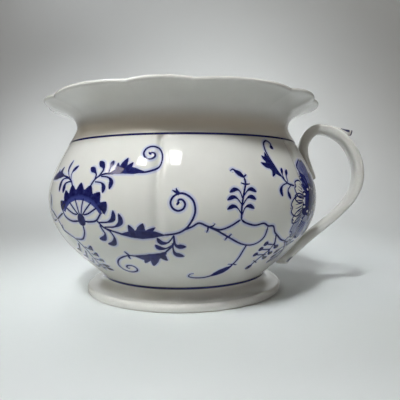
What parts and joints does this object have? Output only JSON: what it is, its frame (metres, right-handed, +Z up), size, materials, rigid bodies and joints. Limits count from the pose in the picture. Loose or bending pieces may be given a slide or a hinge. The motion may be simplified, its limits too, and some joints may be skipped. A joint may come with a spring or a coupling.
{
  "type": "chamber pot",
  "caption": "Round glazed porcelain chamber pot with a fluted belly, a flared lobed rim, a spreading foot and a strap loop handle, for holding liquid.",
  "frame": {"origin": "middle of the foot ring's underside, on the plane that the pot stands on", "axes": "+Z up along the pot's axis, +X towards the handle"},
  "size_m": [0.2473, 0.212, 0.1429],
  "materials": {
    "porcelain": "clear gloss glaze over white porcelain",
    "luting_slip": "fired slip",
    "cobalt_paint": "cobalt blue painted under the glaze"
  },
  "bodies": {
    "root": {"bowl": "porcelain", "neck_slip_ring": "luting_slip", "rim_collar": "porcelain", "foot_slip_ring": "luting_slip", "foot": "porcelain", "upper_handle_leaf": "porcelain", "handle_loop": "porcelain", "lower_handle_leaf": "porcelain", "upper_handle_slip": "luting_slip", "lower_handle_slip": "luting_slip", "thumb_spur": "porcelain", "spur_slip": "luting_slip"}
  },
  "joints": []
}
